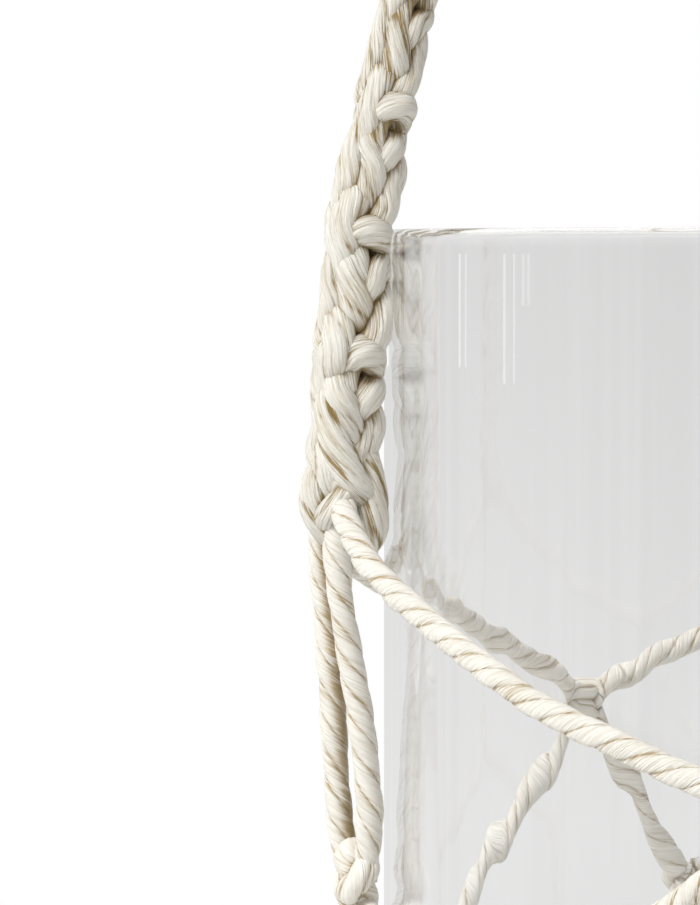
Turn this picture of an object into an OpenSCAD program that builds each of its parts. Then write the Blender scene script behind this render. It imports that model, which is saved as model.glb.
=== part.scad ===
// Hanging lantern: a glass cylinder held in a knotted net of cotton cord, hung by a wooden ring.
// Millimetres, +Z up. The origin is the point inside the top of the ring where a hook bears.
// A place on the glass is given as a turn about its axis, in degrees from -X towards +Y,
// and a drop below the glass's rim.

/* [Ring] */
// Diameter of the ring's eye
ring_eye = 50; // [40:1:60]
// Thickness of the ring's bar
ring_bar = 9; // [8:0.5:11]

/* [Glass] */
// Outer diameter of the glass
glass_d = 150; // [125:1:180]
// Height of the glass
glass_h = 200; // [165:1:260]
// Wall of the glass
glass_wall = 2.5; // [2:0.1:4]
// Thickness of the glass's floor
glass_floor = 6; // [5:0.5:10]

/* [Candle] */
// Diameter of the candle
candle_d = 70; // [50:1:90]
// Height of the candle
candle_h = 85; // [50:1:100]
// Length of wick above the wax
wick_out = 10; // [6:1:14]

/* [Cord] */
// Diameter of the cord
cord_d = 3; // [2.5:0.1:3.6]
// Clearance between the net and the glass
net_gap = 0.4; // [0.3:0.05:0.8]

/* [Arms] */
// Height from the glass's rim to the foot of the neck winding
arm_rise = 325; // [270:5:390]
// Thickness of a knotted arm
arm_d = 8.6; // [7.8:0.1:10]
// Drop of the large knot that ends each arm
end_knot_drop = 36; // [28:1:40]
// Diameter of the knot that ends each arm
end_knot_d = 12; // [11:0.5:14]

/* [Net] */
// Drop of the knots that join two arms' side cords
side_knot_drop = 65; // [58:1:72]
// Drop of the knots under the arms
down_knot_drop = 82; // [74:1:86]
// Drop of the lower row of knots
low_knot_drop = 95; // [92:1:125]
// Diameter of the knots under the arms
down_knot_d = 8.4; // [7.6:0.2:9.6]
// Diameter of the small net knots
net_knot_d = 6.6; // [6:0.2:7.6]

/* [Ends] */
// Height of the winding on the neck
wrap_h = 24; // [15:1:35]
// Height of the winding under the glass
base_wrap_h = 20; // [14:1:30]
// Length of the tassel below the winding
tassel_h = 70; // [40:1:110]
// Width of the tassel near its tip
tassel_d = 27; // [21:1:34]

/* [Hidden] */
$fn = 64;

cotton = "#e9e3d6";
knot_fn = 32;
cord_sides = 8;
ring_step = 2.5 * cord_d;   // the furthest apart that two rings of a cord's tube stand
bite = 1;                   // how far a cord runs into the knot that holds it

// Ring, loops and neck
ring_r = (ring_eye + ring_bar) / 2;
bar_z = -ring_eye - ring_bar / 2;
loop_w = 5.8 * cord_d;
loop_clear = 0.5;
loop_sag = ring_r - sqrt(pow(ring_r, 2) - pow(loop_w / 2, 2));
loop_in = ring_bar / 2 + loop_sag + loop_clear;
loop_out = loop_in + cord_d;
neck_d = 4 * cord_d;
neck_z = bar_z - ring_bar / 2 - 3.5 * cord_d;
wrap_d = neck_d + 2 * cord_d;
wrap_z = neck_z - wrap_h;
rim_z = wrap_z - arm_rise;
base_z = rim_z - glass_h;

// Radius at which a cord's line lies on the glass, and how far out an arm or knot stands
lay_r = glass_d / 2 + net_gap + cord_d / 2;
function stand(d) = (d - cord_d) / 2;
under_drop = glass_h + net_gap + cord_d / 2;

// Turns of the arms and knots: tied by hand, so they aren't quite even
arm_turn = [-7, 103, 233];
side_turn = [52, 168, 293];
down_turn = [-7, 100, 233];
low_turn = [24, 65, 133, 200, 263, 323];
down_drop = [down_knot_drop, down_knot_drop - 6, down_knot_drop];
low_drop = [low_knot_drop + 3, low_knot_drop - 3, low_knot_drop, low_knot_drop + 1, low_knot_drop + 1, low_knot_drop];

// A place in the net from [turn, drop, stand-off from where a cord lies on the glass, sideways shift]
function place(p) =
    let (a = 180 - p[0], r = lay_r + p[2])
    [r * cos(a) + p[3] * sin(a), r * sin(a) - p[3] * cos(a), rim_z - p[1]];

// A route's places, with more between them so that no two rings stand too far apart
function route(list) = [
    for (i = [0:len(list) - 2])
        let (n = max(1, ceil(norm(place(list[i + 1]) - place(list[i])) / ring_step)))
        for (k = [0:n - 1]) place(list[i] + (list[i + 1] - list[i]) * k / n),
    place(list[len(list) - 1])
];

function unit(v) = v / norm(v);
function heading(pts, i) = unit(pts[min(i + 1, len(pts) - 1)] - pts[max(i - 1, 0)]);

// A cord: rings of points round a route; across is a direction that the route never runs along
module cord(pts, across) {
    n = len(pts);
    points = [
        for (i = [0:n - 1])
            let (t = heading(pts, i), b = unit(cross(t, across)), c = cross(b, t))
            for (k = [0:cord_sides - 1])
                let (w = (k + 0.5) * 360 / cord_sides)
                pts[i] + cord_d / 2 * (cos(w) * b + sin(w) * c)
    ];
    faces = concat(
        [[for (k = [0:cord_sides - 1]) k]],
        [for (i = [0:n - 2]) for (k = [0:cord_sides - 1])
            let (m = (k + 1) % cord_sides)
            [i * cord_sides + k, (i + 1) * cord_sides + k, (i + 1) * cord_sides + m, i * cord_sides + m]],
        [[for (k = [cord_sides - 1:-1:0]) (n - 1) * cord_sides + k]]
    );
    color(cotton) polyhedron(points, faces, convexity = 4);
}

module net_cord(list) {
    a = 180 - list[0][0];
    b = 180 - list[len(list) - 1][0];
    cord(route(list), [cos((a + b) / 2), sin((a + b) / 2), 0]);
}

module knot(turn, drop, d) {
    color(cotton) translate(place([turn, drop, stand(d), 0])) sphere(d = d, $fn = knot_fn);
}

// The ring's bar is round, and the ring hangs upright in the X-Z plane
module hanging_ring() {
    color("burlywood") translate([0, 0, -ring_eye / 2]) rotate([90, 0, 0])
        rotate_extrude() translate([ring_r, 0]) circle(d = ring_bar, $fn = 32);
}

// Six cords folded over the ring's bar: a saddle that turns about the bar, and its two legs
module ring_loops() {
    color(cotton) {
        translate([-loop_w / 2, 0, bar_z]) rotate([90, 0, 90])
            rotate_extrude(angle = 180) translate([loop_in, 0]) square([cord_d, loop_w]);
        for (side = [-1, 1]) hull() {
            translate([-loop_w / 2, side > 0 ? loop_in : -loop_out, bar_z]) cube([loop_w, cord_d, 0.1]);
            translate([0, side * neck_d / 5, neck_z]) cylinder(d = neck_d / 2, h = 1, $fn = 24);
        }
    }
}

module neck_cords() {
    color(cotton) translate([0, 0, wrap_z + 3]) cylinder(d = neck_d, h = wrap_h + bite - 3);
}

module winding(z, h) {
    color(cotton) translate([0, 0, z]) rotate_extrude() {
        translate([neck_d / 2 + net_gap / 2, cord_d / 2]) square([cord_d - net_gap / 2, h - cord_d]);
        for (end = [cord_d / 2, h - cord_d / 2])
            translate([neck_d / 2 + (cord_d + net_gap / 2) / 2, end]) circle(d = cord_d - net_gap / 2, $fn = 24);
    }
}

module gathering_wrap() winding(wrap_z, wrap_h);

// A knotted arm: four cords wide from the neck, straight to the rim, then down the glass's wall
arm_r = glass_d / 2 + net_gap + arm_d / 2;
arm_tip_d = 2 * cord_d;
arm_tip_r = arm_tip_d / 2 / sin(60) + net_gap / 2;
arm_cone = 12;
arm_lean = atan((arm_r - arm_tip_r) / arm_rise);
arm_len = norm([arm_r - arm_tip_r, arm_rise]);
arm_bend_d = arm_d + 0.4;   // a little over the arm's own thickness, where it bends at the rim

module arm(i) {
    color(cotton) rotate([0, 0, 180 - arm_turn[i]]) {
        translate([arm_r, 0, rim_z]) {
            sphere(d = arm_bend_d, $fn = knot_fn);
            rotate([0, -arm_lean, 0]) {
                cylinder(d = arm_d, h = arm_len - arm_cone);
                translate([0, 0, arm_len - arm_cone]) cylinder(d1 = arm_d, d2 = arm_tip_d, h = arm_cone);
            }
            translate([0, 0, -end_knot_drop + end_knot_d / 2 - bite])
                cylinder(d = arm_d, h = end_knot_drop - end_knot_d / 2 + bite);
        }
    }
}

module end_knot(i) knot(arm_turn[i], end_knot_drop, end_knot_d);

// The two cords that leave an arm's last knot sideways, each to the side knot on its way
end_reach = end_knot_d / 2 - bite;
fan = cord_d / 3;   // thicker cords leave the knot further apart
module side_cords(i) {
    ends = [[side_turn[i], 1], [side_turn[(i + 2) % 3] - (i == 0 ? 360 : 0), -1]];
    for (e = ends) {
        knot_edge = e[0] - e[1] * 1.6;
        net_cord([
            [arm_turn[i] + e[1] * 2.5 * fan, end_knot_drop + end_reach - 1, stand(end_knot_d) * 0.8, 0],
            [arm_turn[i] + e[1] * 10 * fan, end_knot_drop + end_reach + 2.5, stand(end_knot_d) * 0.5, 0],
            [arm_turn[i] + e[1] * 18, end_knot_drop + end_reach + 6, 0.4, 0],
            [knot_edge, side_knot_drop - 1.2, 0.2, 0]
        ]);
    }
}

// The two cords that go straight down from an arm's last knot, a little clear of the glass
module down_cords(i) {
    top = end_knot_drop + end_reach;
    foot = down_drop[i] - down_knot_d / 2 + bite;
    turns = [arm_turn[i], down_turn[i]];
    net_cord([
        [turns[0] + 1.2, top, stand(end_knot_d) + 2, 0],
        [turns[0] + 1.4, (top + foot) / 2, stand(end_knot_d) + 1.5, 0],
        [turns[1] + 1.2, foot, stand(down_knot_d) + 0.8, 0]
    ]);
    net_cord([
        [turns[0] - 1.4, top, stand(end_knot_d) + 1, 0],
        [turns[0] - 1.6, (top + foot) / 2, stand(end_knot_d) - 1.5, 0],
        [turns[1] - 1.4, foot, stand(down_knot_d) - 0.8, 0]
    ]);
}

module side_knot(i) knot(side_turn[i], side_knot_drop, net_knot_d);
module down_knot(i) knot(down_turn[i], down_drop[i], down_knot_d);
module low_knot(k) knot(low_turn[k], low_drop[k], net_knot_d);

// A cord from a knot down to one of the lower row: from and to are [turn, drop, knot diameter]
module net_run(from, to) {
    way = sign(to[0] - from[0]);
    net_cord([
        [from[0] + way * 1.1, from[1] + from[2] / 2 - bite, stand(from[2]) * 0.6, 0],
        [from[0] * 0.82 + to[0] * 0.18, from[1] + (to[1] - from[1]) * 0.35, 0.2, 0],
        [to[0] - way * 1.3, to[1] - to[2] / 2 + bite, 0.4, 0]
    ]);
}

module side_knot_cords(i) {
    from = [side_turn[i], side_knot_drop, net_knot_d];
    for (k = [2 * i, 2 * i + 1]) net_run(from, [low_turn[k], low_drop[k], net_knot_d]);
}

// The cords from the knot under an arm, one each way to the lower row
module down_knot_cords(i) {
    from = [down_turn[i], down_drop[i], down_knot_d];
    next = 2 * i;
    last = (2 * i + 5) % 6;
    net_run(from, [low_turn[next], low_drop[next], net_knot_d]);
    net_run(from, [low_turn[last] - (i == 0 ? 360 : 0), low_drop[last], net_knot_d]);
}

// A pair from a low knot: down the wall, round the glass's foot and in to the winding under it
foot_r = 4;
corner_r = foot_r + net_gap + cord_d / 2;
module base_cords(k) {
    a = 180 - low_turn[k];
    top = low_drop[k] + net_knot_d / 2 - bite;
    inner = lay_r - neck_d / 2 - cord_d + 0.5;
    for (shift = [-1, 1] * (cord_d / 2 + 0.1)) cord(route([
        [low_turn[k], top, 0.4, shift],
        for (w = [0:22.5:90])
            [low_turn[k], under_drop - corner_r * (1 - sin(w)), -corner_r * (1 - cos(w)), shift],
        [low_turn[k], under_drop, -inner, shift]
    ]), [sin(a), -cos(a), 0]);
}

// The winding that gathers the twelve cords under the glass, and the combed-out ends below it
module base_wrap() {
    top = base_z - net_gap;
    color(cotton) translate([0, 0, top - base_wrap_h]) rotate_extrude() {
        square([wrap_d / 2 - cord_d / 2, base_wrap_h]);
        translate([0, cord_d / 2]) square([wrap_d / 2, base_wrap_h - cord_d]);
        for (end = [cord_d / 2, base_wrap_h - cord_d / 2])
            translate([(wrap_d - cord_d) / 2, end]) circle(d = cord_d, $fn = 24);
    }
}

module tassel() {
    top = base_z - net_gap - base_wrap_h;
    tip = 8;
    color(cotton) translate([0, 0, top - tassel_h]) {
        cylinder(d1 = tassel_d - 4, d2 = tassel_d, h = tip);
        translate([0, 0, tip]) cylinder(d1 = tassel_d, d2 = neck_d + 1, h = tassel_h - tip);
    }
}

// One pressed and fire-polished piece: a flat foot, a cove inside and a fully round rim
cove_r = 4;
module glass() {
    r = glass_d / 2;
    color("azure", 0.35) translate([0, 0, base_z]) rotate_extrude($fn = 96) {
        square([r - foot_r, glass_floor]);
        translate([0, foot_r]) square([r, glass_floor - foot_r]);
        intersection() {
            translate([r - foot_r, foot_r]) circle(foot_r, $fn = 48);
            square([r, foot_r]);
        }
        translate([r - glass_wall, glass_floor - 0.5]) square([glass_wall, glass_h - glass_floor - glass_wall / 2 + 0.5]);
        translate([r - glass_wall / 2, glass_h - glass_wall / 2]) circle(d = glass_wall, $fn = 32);
        difference() {
            translate([r - glass_wall - cove_r, glass_floor - 0.5]) square([cove_r + 0.5, cove_r + 0.5]);
            translate([r - glass_wall - cove_r, glass_floor + cove_r]) circle(cove_r, $fn = 48);
        }
    }
}

// A pillar candle with softened edges and a hole for its wick, standing on the glass's floor
edge_r = 3;
wick_d = 1.8;
wick_hole_d = 2.1;
wick_depth = 60;
module candle() {
    r = candle_d / 2;
    color("ivory") translate([0, 0, base_z + glass_floor]) difference() {
        rotate_extrude() {
            square([r - edge_r, candle_h]);
            translate([0, edge_r]) square([r, candle_h - 2 * edge_r]);
            for (z = [edge_r, candle_h - edge_r]) translate([r - edge_r, z]) circle(edge_r, $fn = 32);
        }
        translate([0, 0, candle_h - wick_depth]) cylinder(d = wick_hole_d, h = wick_depth + 1, $fn = 24);
    }
}

module wick() {
    color("white") translate([0, 0, base_z + glass_floor + candle_h - wick_depth])
        cylinder(d = wick_d, h = wick_depth + wick_out, $fn = 24);
}

hanging_ring();
ring_loops();
neck_cords();
gathering_wrap();
arm(0);  // arm_left
arm(1);  // arm_back
arm(2);  // arm_front
end_knot(0);  // end_knot_left
end_knot(1);  // end_knot_back
end_knot(2);  // end_knot_front
side_cords(0);  // side_cords_left
side_cords(1);  // side_cords_back
side_cords(2);  // side_cords_front
down_cords(0);  // down_cords_left
down_cords(1);  // down_cords_back
down_cords(2);  // down_cords_front
side_knot(0);  // side_knot_1
side_knot(1);  // side_knot_2
side_knot(2);  // side_knot_3
down_knot(0);  // down_knot_left
down_knot(1);  // down_knot_back
down_knot(2);  // down_knot_front
side_knot_cords(0);  // side_knot_cords_1
side_knot_cords(1);  // side_knot_cords_2
side_knot_cords(2);  // side_knot_cords_3
down_knot_cords(0);  // down_knot_cords_left
down_knot_cords(1);  // down_knot_cords_back
down_knot_cords(2);  // down_knot_cords_front
low_knot(0);  // low_knot_1
low_knot(1);  // low_knot_2
low_knot(2);  // low_knot_3
low_knot(3);  // low_knot_4
low_knot(4);  // low_knot_5
low_knot(5);  // low_knot_6
base_cords(0);  // base_cords_1
base_cords(1);  // base_cords_2
base_cords(2);  // base_cords_3
base_cords(3);  // base_cords_4
base_cords(4);  // base_cords_5
base_cords(5);  // base_cords_6
base_wrap();
tassel();
glass();
candle();
wick();
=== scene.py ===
import math
import bpy
import numpy as np
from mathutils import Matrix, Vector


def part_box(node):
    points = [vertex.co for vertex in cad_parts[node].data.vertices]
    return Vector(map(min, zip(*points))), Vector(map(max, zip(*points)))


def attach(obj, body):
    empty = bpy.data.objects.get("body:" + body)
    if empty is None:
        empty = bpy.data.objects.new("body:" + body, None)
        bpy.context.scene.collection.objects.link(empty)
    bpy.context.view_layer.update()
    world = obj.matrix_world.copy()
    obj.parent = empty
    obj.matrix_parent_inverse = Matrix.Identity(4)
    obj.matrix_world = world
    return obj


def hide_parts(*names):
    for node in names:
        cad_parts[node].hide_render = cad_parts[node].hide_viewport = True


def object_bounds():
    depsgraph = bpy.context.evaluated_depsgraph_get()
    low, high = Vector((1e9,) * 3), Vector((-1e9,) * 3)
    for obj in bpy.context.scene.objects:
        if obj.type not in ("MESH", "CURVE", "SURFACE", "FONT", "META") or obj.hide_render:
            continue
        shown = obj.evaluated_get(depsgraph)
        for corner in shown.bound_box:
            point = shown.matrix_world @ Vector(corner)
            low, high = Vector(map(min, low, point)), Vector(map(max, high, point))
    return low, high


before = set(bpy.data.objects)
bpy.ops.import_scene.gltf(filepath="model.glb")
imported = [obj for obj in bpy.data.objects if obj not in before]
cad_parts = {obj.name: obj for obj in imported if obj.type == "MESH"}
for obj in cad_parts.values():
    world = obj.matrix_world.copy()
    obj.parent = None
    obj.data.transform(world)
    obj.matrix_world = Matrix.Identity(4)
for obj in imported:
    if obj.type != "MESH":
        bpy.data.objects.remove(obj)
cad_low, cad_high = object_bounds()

# Camera: level with the glass's rim and close in, so that one arm of the net, the left part of the
# glass and the cords that cross it fill the view.
glass_low, glass_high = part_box("glass")
rim_height = glass_high.z
camera_lens = bpy.data.cameras.new("camera")
camera_lens.lens = 186.6
camera_lens.sensor_width = 36
camera = bpy.data.objects.new("camera", camera_lens)
camera.location = (-0.0793, -0.592, rim_height - 0.0026)
camera.rotation_euler = (math.radians(90 - 2.47), 0, 0)
bpy.context.scene.collection.objects.link(camera)
bpy.context.scene.camera = camera

# Hanging ring: a turned beech ring, sanded and oiled. The lantern's cords fold over its lower side,
# and a hook takes its upper side.


def new_material(name, **finish):
    """A material with one Principled shader, whose constant values are set on its own sockets."""
    material = bpy.data.materials.new(name)
    material.use_nodes = True
    shader = material.node_tree.nodes["Principled BSDF"]
    for socket, value in finish.items():
        shader.inputs[socket.replace("_", " ")].default_value = value
    return material, material.node_tree, shader


def new_node(tree, kind, settings=(), **inputs):
    """A node with its settings, its plain values, and its links from other nodes' outputs. A socket is
    given by its name, or by n and its number where several have one name."""
    node = tree.nodes.new(kind)
    for key, value in dict(settings).items():
        setattr(node, key, value)
    for key, value in inputs.items():
        place = int(key[1:]) if key[0] == "n" and key[1:].isdigit() else key.replace("_", " ")
        socket = node.inputs[place]
        if isinstance(value, bpy.types.NodeSocket):
            tree.links.new(value, socket)
        else:
            socket.default_value = value
    return node


def maths(tree, operation, a, b=0.0, c=0.0):
    """The output of one Math node."""
    return new_node(tree, "ShaderNodeMath", {"operation": operation}, n0=a, n1=b, n2=c).outputs[0]


def ramp(tree, factor, *stops):
    """A colour ramp through (place, colour) stops."""
    node = new_node(tree, "ShaderNodeValToRGB", Fac=factor)
    bands = node.color_ramp.elements
    while len(bands) < len(stops):
        bands.new(0.5)
    for band, (at, colour) in zip(bands, stops):
        band.position = at
        band.color = (*colour, 1)
    return node.outputs["Color"]


beech_pale = (0.62, 0.42, 0.24)
beech_warm = (0.50, 0.30, 0.15)
beech_fleck = (0.33, 0.18, 0.09)
beech, tree, shader = new_material("oiled_beech", Roughness=0.42, Coat_Weight=0.15, Coat_Roughness=0.25)
here = new_node(tree, "ShaderNodeTexCoord").outputs["Object"]
grain_line = new_node(tree, "ShaderNodeMapping", Vector=here, Location=(0, 0, 0.025), Scale=(60, 700, 700))
grain = new_node(tree, "ShaderNodeTexNoise", Vector=grain_line.outputs[0], Scale=1.0, Detail=5.0,
                 Roughness=0.6)
fleck_line = new_node(tree, "ShaderNodeMapping", Vector=here, Scale=(320, 2600, 1500))
fleck = new_node(tree, "ShaderNodeTexNoise", Vector=fleck_line.outputs[0], Scale=1.0, Detail=2.0)
wood = ramp(tree, grain.outputs["Fac"], (0.32, beech_warm), (0.55, beech_pale), (0.75, beech_warm))
fleck_mask = new_node(tree, "ShaderNodeMapRange", Value=fleck.outputs["Fac"], From_Min=0.62, From_Max=0.70)
flecked = new_node(tree, "ShaderNodeMix", {"data_type": "RGBA"}, Factor=fleck_mask.outputs[0], n6=wood)
flecked.inputs[7].default_value = (*beech_fleck, 1)
tree.links.new(flecked.outputs[2], shader.inputs["Base Color"])
bump = new_node(tree, "ShaderNodeBump", Height=grain.outputs["Fac"], Strength=0.25, Distance=0.0002)
tree.links.new(bump.outputs[0], shader.inputs["Normal"])
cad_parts["hanging_ring"].data.materials.clear()
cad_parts["hanging_ring"].data.materials.append(beech)

# Ring loops: six cotton cords, each three strands laid together, folded over the ring's lower side.
# Their twelve ends run down into the neck. The slack keeps them off the bar when the lantern swings.
cord_d = 3.0
soft_d = 3.35
cord_lay = 3.8
bar_z = -54.5
bar_d = 9.0
ring_line = 29.5
loop_gap = 0.8
loop_slack = 0.25
loop_pitch = 2.9
neck_z = -69.5


def unit(vectors):
    """Each vector divided by its own length."""
    return vectors / np.linalg.norm(vectors, axis=-1, keepdims=True)


def smooth_line(points, step):
    """Even stations on a smooth line through the points: between two points it is the cubic that also
    heads from the point before to the point after, and the stations lie a step apart along it."""
    p = np.asarray(points, float)
    p = np.vstack([2 * p[0] - p[1], p, 2 * p[-1] - p[-2]])
    a, b, c, d = (p[i:len(p) - 3 + i, None] for i in range(4))
    t = np.linspace(0, 1, 40, endpoint=False)[None, :, None]
    line = 0.5 * (2 * b + (c - a) * t + (2 * a - 5 * b + 4 * c - d) * t**2 + (3 * b - a - 3 * c + d) * t**3)
    line = np.vstack([line.reshape(-1, p.shape[1]), p[-2]])
    run = run_of(line)
    at = np.linspace(0, run[-1], max(3, int(round(run[-1] / step)) + 1))
    return np.stack([np.interp(at, run, line[:, k]) for k in range(p.shape[1])], 1)


def run_of(line):
    """How far along the line each station is."""
    return np.r_[0, np.cumsum(np.linalg.norm(np.diff(line, axis=0), axis=1))]


def carried_frame(line):
    """Two directions across the line at each station, carried along it without twist: any two are
    chosen first, and the turn that each step would give them is summed and taken off again."""
    t = unit(np.gradient(line, axis=0))
    b = unit(np.cross(t, np.eye(3)[np.argmin(np.abs(t), axis=1)]))
    c = np.cross(b, t)
    t0, t1, b0 = t[:-1], t[1:], b[:-1]
    moved = b0 - ((b0 * t1).sum(1) / (1 + (t0 * t1).sum(1)))[:, None] * (t0 + t1)
    turn = np.r_[0, np.cumsum(np.arctan2((moved * c[1:]).sum(1), (moved * b[1:]).sum(1)))][:, None]
    return np.cos(turn) * b + np.sin(turn) * c, np.cos(turn) * c - np.sin(turn) * b


def tube_faces(tubes, n, m):
    """Four-sided faces along and round each tube, and a fan of three-sided ones over each end."""
    i, k = (g.ravel() for g in np.meshgrid(np.arange(n - 1), np.arange(m), indexing="ij"))
    j = (k + 1) % m
    quads = np.stack([i * m + k, (i + 1) * m + k, (i + 1) * m + j, i * m + j], 1)
    k = np.arange(m)
    j = (k + 1) % m
    fans = np.vstack([np.stack([np.full(m, n * m), k, j], 1),
                      np.stack([np.full(m, n * m + 1), (n - 1) * m + j, (n - 1) * m + k], 1)])
    shift = np.arange(tubes)[:, None, None] * (n * m + 2)
    return (quads + shift).reshape(-1, 4), (fans + shift).reshape(-1, 3)


def tube_skin(rings, v, nook):
    """A closed skin over tubes of rings, an array (tube, ring, side, xyz). v is the distance along,
    kept as the map's second value, the first being the share of the way round."""
    tubes, n, m = rings.shape[:3]
    tips = rings[:, [0, -1]].mean(2)
    corners = np.concatenate([rings.reshape(tubes, n * m, 3), tips], 1).reshape(-1, 3)
    quads, fans = tube_faces(tubes, n, m)
    share = np.arange(m)[None, :] / m + np.zeros((n - 1, 1))
    u4 = np.stack([share, share, share + 1 / m, share + 1 / m], -1)
    v4 = np.stack([v[:, :-1], v[:, 1:], v[:, 1:], v[:, :-1]], -1)[:, :, None] + np.zeros((1, 1, m, 1))
    uv4 = np.stack([u4 + np.zeros((tubes, 1, 1, 1)), v4], -1).reshape(-1, 2)
    share = np.arange(m) / m
    u3 = np.stack([share + 0.5 / m, share, share + 1 / m], -1) + np.zeros((tubes, 2, 1, 1))
    uv3 = np.stack([u3, v[:, [0, -1], None, None] + np.zeros((1, 1, m, 3))], -1).reshape(-1, 2)
    nook = np.concatenate([nook.reshape(tubes, n * m), np.ones((tubes, 2))], 1).ravel()
    return corners, quads, fans, uv4, uv3, nook


chance = np.random.default_rng(7)
strand_middle = 0.225
strand_high = 0.275
strand_wide = 0.37


def laid_cord(line, thick=soft_d, lay=cord_lay, sides=16):
    """Three strands laid left-handed round a line. Each strand's middle goes round at strand_middle
    times the cord's thickness, once in every lay of that many thicknesses, and its section is an oval
    of strand_high by strand_wide, so the strands press into each other and leave shallow grooves. The
    oval swells and thins along the strand by the sum of three slow sine waves."""
    b, c = (v[:, None] for v in carried_frame(line))
    run = run_of(line)
    phase = 2 * np.pi * (run[:, None] / (lay * thick) + np.arange(3) / 3 + chance.random())
    out = np.cos(phase)[..., None] * b + np.sin(phase)[..., None] * c
    side = np.cos(phase)[..., None] * c - np.sin(phase)[..., None] * b
    w = np.linspace(0, 2 * np.pi, sides, endpoint=False)
    swell = chance.random((3, 4)) * 2 * np.pi
    waves = (np.sin(run[:, None] / (thick * s) + swell[:, k]) for k, s in enumerate((0.5, 0.9, 1.7)))
    wave = 1 + 0.035 * sum(waves)
    high = thick * (strand_middle + strand_high * np.cos(w)) * wave[..., None]
    wide = thick * strand_wide * np.sin(w) * wave[..., None]
    rings = line[:, None, None] + high[..., None] * out[:, :, None] + wide[..., None] * side[:, :, None]
    # Depth of each corner below the cord's round, most in the grooves; it sets the painted shade there.
    depth = 1 - np.sqrt(high**2 + wide**2) / (0.5 * thick)
    nook = 0.5 * np.clip(depth / 0.17, 0, 1)
    v = run / thick + chance.random((3, 1)) * 40
    return rings.transpose(1, 0, 2, 3), v, nook.transpose(1, 0, 2)


def make_piece(name, skins, material, slot, body, *nodes):
    """One object from several closed skins given in millimetres, with its map and its crevice depth,
    which sets the painted shade. It rides on a body and stands for CAD nodes."""
    shift = np.cumsum([0] + [len(s[0]) for s in skins])
    corners = np.concatenate([s[0] for s in skins]) * 0.001
    quads = np.concatenate([s[1] + k for s, k in zip(skins, shift)])
    fans = np.concatenate([s[2] + k for s, k in zip(skins, shift)])
    starts = np.r_[np.arange(len(quads)) * 4, len(quads) * 4 + np.arange(len(fans)) * 3]
    mesh = bpy.data.meshes.new(name)
    mesh.vertices.add(len(corners))
    mesh.vertices.foreach_set("co", corners.ravel())
    mesh.loops.add(quads.size + fans.size)
    mesh.loops.foreach_set("vertex_index", np.r_[quads.ravel(), fans.ravel()])
    mesh.polygons.add(len(starts))
    mesh.polygons.foreach_set("loop_start", starts)
    uv = np.concatenate([s[3] for s in skins] + [s[4] for s in skins])
    mesh.uv_layers.new(name="lay").data.foreach_set("uv", uv.ravel())
    # The crevice depth, which the cotton material turns into painted shade.
    nook = mesh.attributes.new("nook", "FLOAT", "POINT")
    nook.data.foreach_set("value", np.concatenate([s[5] for s in skins]))
    mesh.update(calc_edges=True)
    mesh.polygons.foreach_set("use_smooth", np.ones(len(starts), bool))
    mesh.materials.append(material)
    piece = bpy.data.objects.new(name, mesh)
    bpy.context.scene.collection.objects.link(piece)
    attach(piece, body)
    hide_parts(*nodes)


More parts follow.
